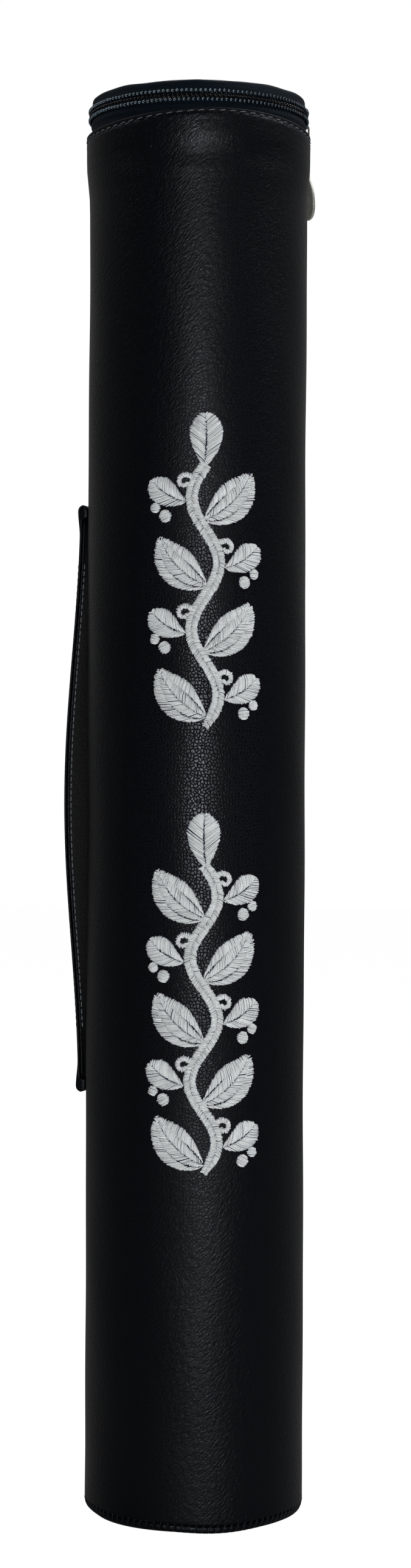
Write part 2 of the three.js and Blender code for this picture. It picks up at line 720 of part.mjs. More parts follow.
// The pull is a drop-shaped blade on a narrow stem, with an eye that hangs in the ring
function pullOutline() {
  const eyeOuter = pullEyeRadius + pullEyeWall;
  const bladeTop = -pullStemLength;
  const widest = bladeTop - pullBladeLength;
  const outline = new THREE.Shape();
  outline.moveTo(pullStemHalfWidth, -eyeOuter);
  outline.absarc(0, 0, eyeOuter, -radians(pullEyeOpening), Math.PI + radians(pullEyeOpening), false);
  outline.lineTo(-pullStemHalfWidth, -eyeOuter);
  outline.lineTo(-pullStemHalfWidth, bladeTop);
  outline.quadraticCurveTo(-pullBladeHalfWidth, (bladeTop + widest) / 2, -pullBladeHalfWidth, widest);
  outline.quadraticCurveTo(-pullBladeHalfWidth, -pullLength, 0, -pullLength);
  outline.quadraticCurveTo(pullBladeHalfWidth, -pullLength, pullBladeHalfWidth, widest);
  outline.quadraticCurveTo(pullBladeHalfWidth, (bladeTop + widest) / 2, pullStemHalfWidth, bladeTop);
  outline.closePath();
  const eye = new THREE.Path();
  eye.absarc(0, 0, pullEyeRadius, 0, fullTurn, true);
  outline.holes.push(eye);
  return outline;
}
const pullSolid = new THREE.ExtrudeGeometry(pullOutline(), {
  depth: pullThickness - 2 * pullBevel,
  bevelThickness: pullBevel,
  bevelSize: pullBevel,
  bevelOffset: -pullBevel,
  bevelSegments: 1,
  curveSegments: pullCurveSteps,
});
pullSolid.translate(0, 0, pullBevel - pullThickness / 2);
const pull = add(pullFrame, "zip_pull", pullSolid, satinNickel);
const eyeHeight = -ringDrop + ringWireRadius + clearance - pullEyeRadius;
pull.position.set(0, eyeHeight, ringMiddle);
pull.rotation.x = -radians(pullTilt);

export default model;
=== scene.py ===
"""A round case for a rolled parchment: a stiff tube in black pebbled leather, with a lid on a coil
zip, a strap handle and an embroidered vine. Shapes are worked out in millimetres, with the tube's
axis upright, and meshes are made in metres."""

import math

import bmesh
import bpy
import numpy as np
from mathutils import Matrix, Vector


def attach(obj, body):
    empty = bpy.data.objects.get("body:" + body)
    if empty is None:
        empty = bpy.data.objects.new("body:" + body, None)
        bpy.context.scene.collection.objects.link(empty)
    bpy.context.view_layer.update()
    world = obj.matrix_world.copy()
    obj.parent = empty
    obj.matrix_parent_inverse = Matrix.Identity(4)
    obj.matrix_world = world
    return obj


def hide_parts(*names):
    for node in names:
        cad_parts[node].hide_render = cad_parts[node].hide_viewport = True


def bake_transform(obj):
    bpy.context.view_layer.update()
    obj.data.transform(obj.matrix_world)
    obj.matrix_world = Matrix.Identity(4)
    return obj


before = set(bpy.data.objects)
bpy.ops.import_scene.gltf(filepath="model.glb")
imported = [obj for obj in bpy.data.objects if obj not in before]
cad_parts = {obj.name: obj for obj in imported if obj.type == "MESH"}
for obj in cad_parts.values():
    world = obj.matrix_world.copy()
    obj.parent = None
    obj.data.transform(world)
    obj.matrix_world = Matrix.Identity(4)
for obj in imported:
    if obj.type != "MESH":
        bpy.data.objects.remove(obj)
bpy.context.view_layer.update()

# Room: a camera level with the middle of the case, as the photograph was taken, on a pale floor in a
# pale room. The room's light is stronger behind the case. Mirror rays see only a small share of the
# white that the camera sees, so that black leather stays black.
mm = 0.001
camera_place = (3.26, -1090, 245.9)
camera_tilt, camera_roll = 90.232, -0.23
front_light, back_extra = 0.015, 0.26
mirror_share = 0.015


def in_scene(name, data):
    """Puts an object with this name and data into the scene, at the origin."""
    made = bpy.data.objects.new(name, data)
    bpy.context.scene.collection.objects.link(made)
    return made


lens = bpy.data.cameras.new("camera")
lens.sensor_fit = "VERTICAL"
lens.sensor_height = 36
lens.lens = 72.5
camera = in_scene("camera", lens)
camera.location = [distance * mm for distance in camera_place]
camera.rotation_euler = (math.radians(camera_tilt), math.radians(camera_roll), 0)
bpy.context.scene.camera = camera
bpy.context.scene.view_settings.view_transform = "Standard"


class Wire:
    """An output socket in a node tree. Arithmetic on it adds the Math nodes that work it out."""

    def __init__(self, tree, socket=None):
        self.tree, self.socket = tree, socket

    def node(self, kind, settings=(), inputs=(), output=0):
        """Adds a node: its settings first, then a value or a Wire for each of its inputs."""
        made = self.tree.nodes.new("ShaderNode" + kind)
        for name, value in dict(settings).items():
            setattr(made, name, value)
        for name, value in dict(inputs).items():
            if isinstance(value, Wire):
                self.tree.links.new(value.socket, made.inputs[name])
            else:
                made.inputs[name].default_value = value
        return Wire(self.tree, made.outputs[output])

    def math(self, operation, *values):
        return self.node("Math", {"operation": operation}, enumerate(values))

    def distance(self, other):
        """How far this point lies from another."""
        return self.node("VectorMath", {"operation": "DISTANCE"}, {0: self, 1: other}, output="Value")

    def axis(self, name):
        """The X, Y or Z of a point or direction."""
        return self.node("SeparateXYZ", {}, {0: self}, output=name)

    def noise(self, scale, detail, output=0):
        """Soft noise at this point: scale blotches to the metre, with detail finer layers on them."""
        return self.node("TexNoise", {}, {"Vector": self, "Scale": scale, "Detail": detail}, output)

    def bump(self, strength, distance):
        """The normal of a face that stands off by this height times distance."""
        return self.node("Bump", {}, {"Strength": strength, "Distance": distance, "Height": self})

    def __add__(self, other):
        return self.math("ADD", self, other)

    def __sub__(self, other):
        return self.math("SUBTRACT", self, other)

    def __rsub__(self, other):
        return self.math("SUBTRACT", other, self)

    def __mul__(self, other):
        return self.math("MULTIPLY", self, other)

    __radd__, __rmul__ = __add__, __mul__

    def between(self, low, high, ramp="LINEAR"):
        """0 below low and 1 above high, with a straight or a smooth ramp between them."""
        ends = {"Value": self, "From Min": low, "From Max": high}
        return self.node("MapRange", {"interpolation_type": ramp}, ends)

    def colours(self, first, second):
        """From the first colour at 0 to the second at 1."""
        return self.node("Mix", {"data_type": "RGBA"}, {0: self, 6: first, 7: second}, output=2)


room = bpy.data.worlds.new("room")
room.use_nodes = True
bpy.context.scene.world = room
air = Wire(room.node_tree)
behind = air.node("TexCoord", output="Generated").axis("Y")
camera_ray, glossy_ray, clear_ray = (
    air.node("LightPath", output=f"Is {kind} Ray") for kind in ("Camera", "Glossy", "Transmission")
)
room_light = front_light + behind.between(-0.2, 1) * back_extra
seen = (glossy_ray + clear_ray) * mirror_share + camera_ray
strength = room_light * (1 - seen) + seen
background = room.node_tree.nodes["Background"]
background.inputs["Color"].default_value = (1, 1, 1, 1)
room.node_tree.links.new(strength.socket, background.inputs["Strength"])

floor_reach = 6
floor_drop = 0.0002
floor_sides = ((-1, -1), (1, -1), (1, 1), (-1, 1))
floor_corners = [(x * floor_reach, y * floor_reach, -floor_drop) for x, y in floor_sides]
floor_mesh = bpy.data.meshes.new("floor")
floor_mesh.from_pydata(floor_corners, [], [(0, 1, 2, 3)])
floor = in_scene("floor", floor_mesh)

camera_glow, mirror_glow = 1.1, 0.05
glow_cover = 0.85


def finish(name, constants, build):
    """A material: constants go on the shader's own sockets, and build gives the Wires that vary."""
    material = bpy.data.materials.new(name)
    material.use_nodes = True
    shader = material.node_tree.nodes["Principled BSDF"]
    for socket, value in constants.items():
        shader.inputs[socket].default_value = value
    for socket, wire in build(Wire(material.node_tree)).items():
        material.node_tree.links.new(wire.socket, shader.inputs[socket])
    return material


paper_constants = {"Base Color": (0.85, 0.85, 0.85, 1), "Roughness": 0.9}
floor_paper = finish("floor_paper", paper_constants, lambda wire: {})
paper_tree = floor_paper.node_tree
paper = Wire(paper_tree)
paper_camera = paper.node("LightPath", output="Is Camera Ray")
paper_seen = paper_camera + paper.node("LightPath", output="Is Glossy Ray")
paper_strength = paper_camera * camera_glow + mirror_glow
paper_glow = paper.node("Emission", {}, {"Color": (1, 1, 1, 1), "Strength": paper_strength})
paper_lit = Wire(paper_tree, paper_tree.nodes["Principled BSDF"].outputs[0])
paper_mix = paper.node("MixShader", {}, {0: paper_seen * glow_cover, 1: paper_lit, 2: paper_glow})
paper_tree.links.new(paper_mix.socket, paper_tree.nodes["Material Output"].inputs["Surface"])
floor_mesh.materials.append(floor_paper)


def lamp(name, place, aim, size, power):
    """A round soft lamp that faces a point."""
    light = bpy.data.lights.new(name, "AREA")
    light.shape = "DISK"
    light.size = size
    light.energy = power
    holder = in_scene(name, light)
    holder.location = place
    direction = Vector(aim) - Vector(place)
    holder.rotation_euler = direction.to_track_quat("-Z", "Y").to_euler()


case_middle = (0, 0, 0.25)
lamp("key_lamp", (0.10, -1.15, 0.27), case_middle, 0.22, 7.5)
lamp("left_lamp", (-0.9, 0.3, 1.5), case_middle, 0.6, 7)
lamp("right_lamp", (0.9, 0.1, 1.5), case_middle, 0.6, 20)
lamp("back_lamp", (0.1, 1.1, 1.4), case_middle, 0.6, 16)

# Leather skin: one black hide glued round the tube, lapped at the back, with its upper edge turned in
# as a hem over the zip tape. It lies in slow waves, and the hem's stitches pull a groove into it.
case_radius = 37.5
skin_bottom = 2.7
foot_rounding = 0.8
hem_radius = 38.6
hem_top = 476.1
hem_rounding = 0.8
hem_inner_radius = 37.0
skin_inner_radius = 36.2
skin_foot = [(2.7, 36.7), (3.5, 37.5), (447, 37.5)]
skin_flare = [(453, 37.62), (458, 38.05), (463, 38.5), (467, 38.6), (476, 38.6)]
skin_profile = np.array(skin_foot + skin_flare)
front = -math.pi / 2
lap_angle = math.radians(66)
lap_width = 9
lap_step = 0.7
hem_pitch = 3.6
hem_stitch_count = round(2 * math.pi * hem_radius / hem_pitch)
hem_stitch_middle = 473.1
hem_edge_middle = 474.55
hem_shift_from = 440
foot_shift_reach = 25
foot_wave, foot_ripple = 0.9, 0.25
hollow_height, hollow_depth = 462, 0.7
groove_depth = 0.30


def smooth(x):
    """0 below 0 and 1 above 1, with 3x² - 2x³ between them."""
    x = np.clip(x, 0, 1)
    return x * x * (3 - 2 * x)


def bell(distance, width):
    """A bell curve: the exponential of minus the square of distance over width."""
    return np.exp(-((distance / width) ** 2))


def place(angle, radius, height):
    """Points from an angle round the axis in radians, a radius and a height."""
    angle, radius, height = np.broadcast_arrays(angle, radius, height)
    return np.stack([radius * np.cos(angle), radius * np.sin(angle), height], -1)


def hem_wave(angle, middle, cosine, sine):
    """A height that rises and dips twice round the case: middle, with a cosine and a sine of twice
    the angle from the front."""
    twice = 2 * (angle - front)
    return middle + cosine * np.cos(twice) + sine * np.sin(twice)


def hem_stitch_height(angle):
    """Height of the hem's stitch line."""
    return hem_wave(angle, hem_stitch_middle, 1.7, 0.9)


def foot_lift(angle):
    """How far the base's stitched edge is drawn up off the floor: two cosine waves round it, of two
    and of six swings, that leave it nearly down at the front and at the back."""
    turn = angle - front
    return foot_wave * (1 - np.cos(2 * turn - 0.35)) + foot_ripple * (1 - np.cos(6 * turn - 1.57))


def settle(angle, height):
    """Heights on the skin as it was sewn: its upper edge dips like the hem's stitches, and its lower
    edge rises with the base's. Both shifts fade out along the skin in a straight ramp."""
    edge = hem_wave(angle, hem_edge_middle, 1.35, 0.75)
    hem_share = np.clip((height - hem_shift_from) / (hem_top - hem_shift_from), 0, 1)
    foot_share = np.clip(1 - (height - skin_bottom) / foot_shift_reach, 0, 1)
    return height + (edge - hem_top) * hem_share + foot_lift(angle) * foot_share


def skin_relief(angle, height):
    """How far the leather stands off its smooth profile: three slow sine waves, the lap at the back as
    a step that thins out, a hollow under the hem at the front, and a groove along the hem's stitches
    with a low puff on each side. Hollow, groove and puffs are bell curves of the height."""
    waves = (
        0.10 * np.sin(3 * angle + height / 31)
        + 0.07 * np.sin(5 * angle - height / 17 + 1)
        + 0.05 * np.sin(8 * angle + height / 9 + 2)
    )
    along = (angle - lap_angle) % (2 * math.pi) * case_radius
    lap = lap_step * smooth(along / 0.5) * np.clip(1 - along / lap_width, 0, 1)
    hollow = -hollow_depth * bell(height - hollow_height, 5) * smooth(np.cos(angle - front))
    from_stitch = height - hem_stitch_height(angle)
    pull = 0.7 + 0.3 * np.cos(hem_stitch_count * angle)
    groove = -groove_depth * pull * bell(from_stitch, 0.6)
    puff = 0.09 * bell(from_stitch - 1.4, 0.8) + 0.05 * bell(from_stitch + 1.8, 1.2)
    return waves * smooth((height - 3) / 20) * smooth((470 - height) / 20) + lap + hollow + groove + puff


def skin_radius(angle, height):
    """Radius of the leather's face, from its profile and its relief."""
    return np.interp(height, *skin_profile.T) + skin_relief(angle, height)


def path_lengths(path):
    """The distance along a path to each of its points."""
    return np.concatenate([[0], np.cumsum(np.linalg.norm(np.diff(path, axis=0), axis=1))])


def arc(radius, height, rounding, start, stop, steps):
    """Points (radius, height) of a rounded corner, from one angle to another in degrees."""
    turn = np.radians(np.linspace(start, stop, steps))
    return np.stack([radius + rounding * np.cos(turn), height + rounding * np.sin(turn)], -1)


def surface(name, points, around=False, closed=False, uv=None):
    """A mesh through a grid of points (row, column, xyz), one quad for each cell. around joins the last
    column to the first and closed the last row to the first. uv gives each column's and each row's
    place on the flat material."""
    rows, columns = points.shape[:2]
    row, column = np.meshgrid(
        np.arange(rows - (not closed)), np.arange(columns - (not around)), indexing="ij"
    )
    corners = [(row, column), (row, column + 1), (row + 1, column + 1), (row + 1, column)]
    faces = np.stack([(r % rows) * columns + c % columns for r, c in corners], -1).reshape(-1, 4)
    mesh = bpy.data.meshes.new(name)
    mesh.from_pydata(points.reshape(-1, 3) * mm, [], faces.tolist())
    if uv is not None:
        flat = np.stack([np.stack([uv[0][c], uv[1][r]], -1) for r, c in corners], -2)
        mesh.uv_layers.new(name="flat").data.foreach_set("uv", (flat * mm).astype(np.float32).ravel())
    return mesh


def piece(mesh, material, body, slot, *nodes):
    """Puts a mesh into the scene as a piece: its doubled points are merged and its faces turned out,
    and it rides on its body and stands for the named nodes."""
    work = bmesh.new()
    work.from_mesh(mesh)
    bmesh.ops.remove_doubles(work, verts=work.verts, dist=1e-6)
    bmesh.ops.recalc_face_normals(work, faces=work.faces)
    work.to_mesh(mesh)
    work.free()
    mesh.shade_smooth()
    mesh.materials.append(material)
    made = in_scene(mesh.name, mesh)
    if body:
        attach(made, body)
    if nodes:
        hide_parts(*nodes)
    return made


front_squeeze = 6
front_middle = (0.80, 0.24, 0)
rubbed_spot = (0.1296, 0.467, 0)


def pebbled_leather(name, coordinates, pebble=1.15):
    """Black leather: rounded pebbles between narrow creases, with fine wrinkles over them. The pebbles
    are shiny on top, and dull in the creases, and the creases are darker as painted shade. The grain
    is crisp in a tall oval at the middle of the front. Elsewhere, and on all the smaller pieces, it is
    soft and wrinkled from being stretched. The hem's turned edge is duller, and a rubbed spot below it
    at the front is a little shinier. Places are in metres on the flat hide, where distances across the
    oval count front_squeeze times."""

    def grain(wire):
        flat = wire.node("TexCoord", output=coordinates)
        bend = {0: flat.noise(800, 2, "Color"), 1: (0.0011, 0.0011, 0), 2: flat}
        bent = wire.node("VectorMath", {"operation": "MULTIPLY_ADD"}, bend)
        to_edge = {"voronoi_dimensions": "2D", "feature": "DISTANCE_TO_EDGE"}
        rounded = {"Vector": bent, "Scale": 1000 / pebble, "Randomness": 0.9}
        cells = wire.node("TexVoronoi", to_edge, rounded)
        wrinkles = wire.node("TexVoronoi", to_edge, {"Vector": bent, "Scale": 2900 / pebble})
        patches = flat.noise(420, 3)
        squeezed = wire.node("Mapping", {}, {"Vector": flat, "Scale": (front_squeeze, 1, 1)})
        stretched = squeezed.distance(front_middle).between(0.06, 0.16)
        slanted = wire.node(
            "Mapping",
            {"vector_type": "TEXTURE"},
            {"Vector": bent, "Rotation": (0, 0, -0.75), "Scale": (1, 3.3, 1)},
        )
        folds = slanted.noise(1500, 2)
        pebble_top = cells.between(0.03, 0.2) * (1 - stretched * 0.8) + stretched * 0.65
        domes = cells.between(0, 0.32, "SMOOTHSTEP") * 0.38 + wrinkles.between(0, 0.3, "SMOOTHSTEP") * 0.08
        height = domes * (1 - stretched * 0.6) + patches * 0.9 + stretched * folds * 2.4
        edge = flat.axis("Y").between(0.4718, 0.4732)
        gloss = 0.74 - flat.distance(rubbed_spot).between(0.003, 0.011) * 0.08
        # Painted shade: the creases are coloured darker than the pebbles' tops.
        painted_crease_shade = (0.0004, 0.0005, 0.0009, 1)
        top = (0.0014, 0.0018, 0.0028, 1)
        return {
            "Base Color": pebble_top.colours(painted_crease_shade, top),
            "Roughness": 0.92 - pebble_top * (1 - edge * 0.6) * gloss,
            "Normal": height.bump(0.7, 0.00012),
        }

    return finish(name, {"Specular IOR Level": 0.15, "Specular Tint": (0.90, 0.94, 1, 1)}, grain)


skin_leather = pebbled_leather("skin_leather", "UV")

angles = np.linspace(0, 2 * math.pi, 265) + lap_angle
outer_heights = np.concatenate(
    [np.linspace(3.6, 440, 170), np.linspace(442, 469, 24), np.linspace(469.35, 475.05, 20)]
)
outer = np.stack([np.interp(outer_heights, *skin_profile.T), outer_heights], -1)
foot = arc(case_radius - foot_rounding, skin_bottom + foot_rounding, foot_rounding, -90, -10, 5)
rim = arc(hem_radius - hem_rounding, hem_top - hem_rounding, hem_rounding, 10, 90, 6)
inner = [
    (hem_inner_radius, hem_top),
    (hem_inner_radius, 463),
    (skin_inner_radius, 448),
    (skin_inner_radius, skin_bottom),
]
skin_loop = np.concatenate([foot, outer, rim, inner])
shows = np.concatenate([np.ones(len(foot) + len(outer) + len(rim)), np.zeros(len(inner))])
heights = settle(angles[None, :-1], skin_loop[:, 1:])
relief = skin_relief(angles[None, :-1], heights) * shows[:, None]
skin_points = place(angles[None, :-1], skin_loop[:, :1] + relief, heights)
skin_lengths = path_lengths(np.vstack([skin_loop, skin_loop[:1]]))
skin_mesh = surface(
    "leather_skin",
    skin_points,
    around=True,
    closed=True,
    uv=((angles - lap_angle) * case_radius, skin_lengths),
)
piece(skin_mesh, skin_leather, "case", "leather", "leather_wrap")

# Hem stitches: a grey-blue two-ply thread in long stitches all round the rim, sewn through the hem
# and the tape. Each stitch lies in its groove and dives into the leather at both ends.
hem_stitch_length = 2.2
hem_stitch_slant = 0.25
stitch_arch, stitch_sink = 0.30, 0.16
ply_radius = 0.12
ply_gap = 0.11


def tubes(name, rings, shade=None):
    """Closed tubes as one mesh, from rings of points (tube, ring, point, xyz). Each tube's ends are
    drawn together at the middle of its end rings. shade gives each tube a value of its own."""
    ends = np.broadcast_to(rings[:, [0, -1]].mean(2, keepdims=True), rings[:, [0, -1]].shape)
    rings = np.concatenate([ends[:, :1], rings, ends[:, 1:]], 1)
    count, length, sides = rings.shape[:3]
    counts = (np.arange(number) for number in (count, length - 1, sides))
    tube, ring, side = np.meshgrid(*counts, indexing="ij")
    beside = (side + 1) % sides
    corners = [(ring, side), (ring, beside), (ring + 1, beside), (ring + 1, side)]
    faces = np.stack([(tube * length + r) * sides + s for r, s in corners], -1).reshape(-1, 4)
    mesh = bpy.data.meshes.new(name)
    mesh.from_pydata(rings.reshape(-1, 3) * mm, [], faces.tolist())
    if shade is not None:
        values = np.repeat(shade, length * sides).astype(np.float32)
        mesh.attributes.new("shade", "FLOAT", "POINT").data.foreach_set("value", values)
    return mesh


def strands(paths, radius, sides):
    """Rings round each path (strand, point, xyz), square to it, for strands of a round section. The
    first point of a ring lies away from the case's axis."""
    ahead = np.gradient(paths, axis=1)
    ahead /= np.linalg.norm(ahead, axis=-1, keepdims=True)
    out = paths * (1, 1, 0)
    out = out - (out * ahead).sum(-1, keepdims=True) * ahead
    out /= np.linalg.norm(out, axis=-1, keepdims=True)
    beside = np.cross(ahead, out)
    turn = np.linspace(0, 2 * math.pi, sides, endpoint=False)[:, None]
    radius = np.broadcast_to(radius, paths.shape[:2])[:, :, None, None]
    square = np.cos(turn) * out[:, :, None] + np.sin(turn) * beside[:, :, None]
    return paths[:, :, None] + radius * square


def spun_thread(name, light, dark, roughness, shaded=False):
    """Sewing thread: fine noise for its fibres. If shaded, each stitch has a shade of its own."""

    def fibres(wire):
        fuzz = wire.node("TexCoord", output="Object").noise(3800, 2)
        blend = fuzz.between(0.3, 0.7) * 0.6
        if shaded:
            blend = (blend + 0.4) * wire.node("Attribute", {"attribute_name": "shade"}, output="Fac")
        return {"Base Color": blend.colours(dark, light), "Normal": fuzz.bump(0.5, 0.00008)}

    return finish(name, {"Roughness": roughness, "Specular IOR Level": 0.35}, fibres)


grey_blue_thread = spun_thread("grey_blue_thread", (0.12, 0.15, 0.18, 1), (0.03, 0.038, 0.05, 1), 0.5)

share = np.linspace(-0.5, 0.5, 9)
stitch_angles = (
    np.arange(hem_stitch_count)[:, None] * 2 * math.pi / hem_stitch_count
    + math.pi / hem_stitch_count
    + share * hem_stitch_length / hem_radius
)
stitch_heights = hem_stitch_height(stitch_angles) + share * hem_stitch_slant
stitch_rise = stitch_arch * (1 - (2 * np.abs(share)) ** 4) - stitch_sink
plies = []
for ply in (0, math.pi):
    twist = ply + share * 5 * math.pi
    ply_out = ply_gap * np.cos(twist)
    ply_up = ply_gap * np.sin(twist)
    radius = skin_radius(stitch_angles, stitch_heights) + stitch_rise + ply_out
    plies.append(place(stitch_angles, radius, stitch_heights + ply_up))
hem_thread = tubes("hem_stitches", strands(np.concatenate(plies), ply_radius, 5))
piece(hem_thread, grey_blue_thread, "case", "zip_tape")

# Base: a leather disc under the tube, whose rounded edge is whip-stitched to the skin in small even
# stitches, so that the edge swells a little between them.
cover_radius = 36.9
cover_top = 2.55
cover_rounding = 1.15
cover_lift_from, cover_lift_ramp = 33, 3.9
whip_pitch = 2.4
whip_thread_radius = 0.17
whip_swell = 0.12
whip_count = round(2 * math.pi * cover_radius / whip_pitch)
base_leather = pebbled_leather("base_leather", "Object")


def cover_lift(angle, radius):
    """How far a point of the base is drawn up: the lift of its edge, fading out towards the axis."""
    return foot_lift(angle) * smooth((radius - cover_lift_from) / cover_lift_ramp)


cover_loop = np.concatenate(
    [
        np.stack([np.linspace(0, 34, 18), np.zeros(18)], -1),
        arc(cover_radius - cover_rounding, cover_rounding, cover_rounding, -90, 0, 7),
        [(cover_radius, 1.7), (cover_radius - 0.15, 2.3), (cover_radius - 0.8, cover_top)],
        [(0, cover_top)],
    ]
)
angles = np.linspace(0, 2 * math.pi, 4 * whip_count, endpoint=False)
swell = whip_swell * smooth((cover_loop[:, :1] - 34) / 2) * -np.cos(whip_count * angles)[None]
cover_heights = cover_loop[:, 1:] + cover_lift(angles[None], cover_loop[:, :1])
cover_points = place(angles[None], cover_loop[:, :1] + swell, cover_heights)
cover_mesh = surface("base_cover", cover_points, around=True)
piece(cover_mesh, base_leather, "case", "leather", "bottom_cover")

navy_thread = spun_thread("navy_thread", (0.007, 0.009, 0.015, 1), (0.002, 0.003, 0.006, 1), 0.7)
whip_rise = np.array(
    [(36.9, 3.3), (37.45, 2.9), (37.3, 2.2), (37.15, 1.4), (36.75, 0.55), (36.0, 0.12), (35.2, 0.25)]
)
lean = np.linspace(0.35, -0.25, len(whip_rise)) * whip_pitch / cover_radius
whip_angles = np.arange(whip_count)[:, None] * 2 * math.pi / whip_count + lean
whip_heights = whip_rise[None, :, 1] + cover_lift(whip_angles, whip_rise[None, :, 0])
whips = strands(place(whip_angles, whip_rise[None, :, 0], whip_heights), whip_thread_radius, 5)
piece(tubes("base_stitches", whips), navy_thread, "case", "zip_tape")

# Lining: a navy cloth tube inside the board tube, with a cloth-covered disc at its foot. The board
# shows as a thin grey-brown ring when the lid is open.
lining_foot, lining_top = 5.5, 475.9
lining_inner, lining_outer = 33.4, 34.0
cloth_light, cloth_dark = (0.022, 0.030, 0.075, 1), (0.008, 0.011, 0.030, 1)


def woven_cloth(name, light, dark, coordinates, thread):
    """Plain weave: over and under as the product of two crossed sine waves, with slubs as noise. The
    colour is darker where the threads dip under, as painted shade, and the slubs vary it at random.
    """

    def weave(wire):
        flat = wire.node("TexCoord", output=coordinates)
        x, y = (flat.axis(name) * (math.pi * 1000 / thread) for name in "XY")
        over = wire.math("SINE", x) * wire.math("SINE", y)
        slub = flat.noise(900, 3)
        height = over * 0.5 + slub * 0.5
        # Painted shade: the weave's low places are coloured darker; the slubs add random tone.
        tint = (height * 0.6 + slub * 0.4).colours(dark, light)
        return {"Base Color": tint, "Normal": height.bump(0.6, 0.0001)}

    return finish(name, {"Roughness": 0.85, "Sheen Weight": 0.3}, weave)


lining_cloth = woven_cloth("lining_cloth", cloth_light, cloth_dark, "UV", 0.5)
disc_cloth = woven_cloth("disc_cloth", cloth_light, cloth_dark, "Object", 0.5)


def ring_loop(low, high, inner_radius, outer_radius, rounding):
    """Closed profile (radius, height) of a tube wall with rounded edges, from its inner foot."""
    return np.concatenate(
        [
            arc(inner_radius + rounding, low + rounding, rounding, 180, 270, 4),
            arc(outer_radius - rounding, low + rounding, rounding, 270, 360, 4),
            arc(outer_radius - rounding, high - rounding, rounding, 0, 90, 4),
            arc(inner_radius + rounding, high - rounding, rounding, 90, 180, 4),
        ]
    )


def turned(name, loop, material, body, slot, *nodes, count=160):
    """A profile (radius, height) turned round the axis. One that starts on the axis is a disc."""
    angles = np.linspace(0, 2 * math.pi, count + 1)
    closed = loop[0, 0] > 0
    path = np.vstack([loop, loop[:1]]) if closed else loop
    points = place(angles[None, :-1], loop[:, :1], loop[:, 1:])
    uv = (angles * loop[:, 0].max(), path_lengths(path))
    mesh = surface(name, points, around=True, closed=closed, uv=uv)
    return piece(mesh, material, body, slot, *nodes)


def disc_loop(low, high, radius, rounding, crown=0, steps=14):
    """Profile (radius, height) of a disc with rounded edges. Its upper face rises by crown, as a
    parabola."""
    across = np.linspace(0, radius - rounding, steps)
    top = high - crown + crown * (1 - (across / (radius - rounding)) ** 2)
    return np.concatenate(
        [
            [(0, low)],
            arc(radius - rounding, low + rounding, rounding, -90, 0, 4),
            arc(radius - rounding, high - crown - rounding, rounding, 0, 80, 5),
            np.stack([across, top], -1)[::-1],
        ]
    )


lining_loop = ring_loop(lining_foot, lining_top, lining_inner, lining_outer, 0.25)
turned("lining_tube", lining_loop, lining_cloth, "case", "lining", "inner_lining")
foot_loop = disc_loop(lining_foot, 6.5, 33.1, 0.4)
turned("foot_lining", foot_loop, disc_cloth, "case", "lining", "bottom_lining")


def grey_board(name):
    """Wound paperboard: a dull grey-brown with fine flecks and faint clouds, both as noise."""

    def flecks(wire):
        at = wire.node("TexCoord", output="Object")
        fleck = at.noise(1400, 4)
        shade = fleck.between(0.35, 0.65) * 0.6 + at.noise(120, 2) * 0.4
        tint = shade.colours((0.20, 0.18, 0.14, 1), (0.36, 0.33, 0.27, 1))
        return {"Base Color": tint, "Normal": fleck.bump(0.4, 0.0001)}

    return finish(name, {"Roughness": 0.9}, flecks)


def refinish(material, *nodes):
    """Gives carried-over nodes a better material."""
    for node in nodes:
        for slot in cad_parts[node].material_slots:
            slot.material = material


board = grey_board("grey_board")
refinish(board, "tube_core", "bottom_board")

# Zip tapes: navy-black woven tape. The lower one is glued between the tube and the hem, and rolls out
# a little over the hem. The upper one is turned in over the lid's edge, and its inner edge is gathered.
chain_height = 480.2
chain_radius = 37.35
tape_inner, tape_outer = 36.2, 36.7
zip_end = math.radians(34)
zip_start = math.radians(-262)
lid_top = 486
lid_shoulder = 35.4
lid_rounding = 1.3
lid_fall = 0.3
turn_inner = 31.3
tape_foot, lower_tape_top, upper_tape_foot = 464.7, 479.35, 481.05
gather_count, gather_depth = 104, 0.16


def herringbone_tape(name):
    """Herringbone weave: slanted ribs that change direction in narrow bands, over fine threads. The
    ribs' crowns are lighter as painted shade, over fibres that vary in tone at random.
    """

    def weave(wire):
        flat = wire.node("TexCoord", output="UV")
        along, across = (flat.axis(name) * 1000 for name in "XY")
        zigzag = along + wire.math("PINGPONG", across, 1.1)
        rib = wire.math("SINE", zigzag * (2 * math.pi / 0.62)) * 0.5 + 0.5
        thread = wire.math("SINE", across * (2 * math.pi / 0.3)) * 0.5 + 0.5
        fuzz = flat.noise(2600, 3)
        height = rib * 0.6 + thread * 0.2 + fuzz * 0.35
        # Painted shade: the ribs are coloured lighter on their crowns; the fibre noise is random tone.
        speckle_and_rib_shade = rib * 0.3 + fuzz.between(0.48, 0.68) * 0.7
        tint = speckle_and_rib_shade.colours((0.0004, 0.0009, 0.0020, 1), (0.0050, 0.0095, 0.0170, 1))
        return {"Base Color": tint, "Normal": height.bump(0.7, 0.00012)}

    constants = {"Roughness": 0.75, "Specular IOR Level": 0.12, "Specular Tint": (0.55, 0.8, 1, 1)}
    return finish(name, constants, weave)


zip_tape = herringbone_tape("zip_tape")


def drawn_shut(rows):
    """Rows of points with one more at each end, drawn together at the middle of the end row."""
    ends = rows[[0, -1]].mean(1, keepdims=True).repeat(rows.shape[1], 1)
    return np.concatenate([ends[:1], rows, ends[1:]])


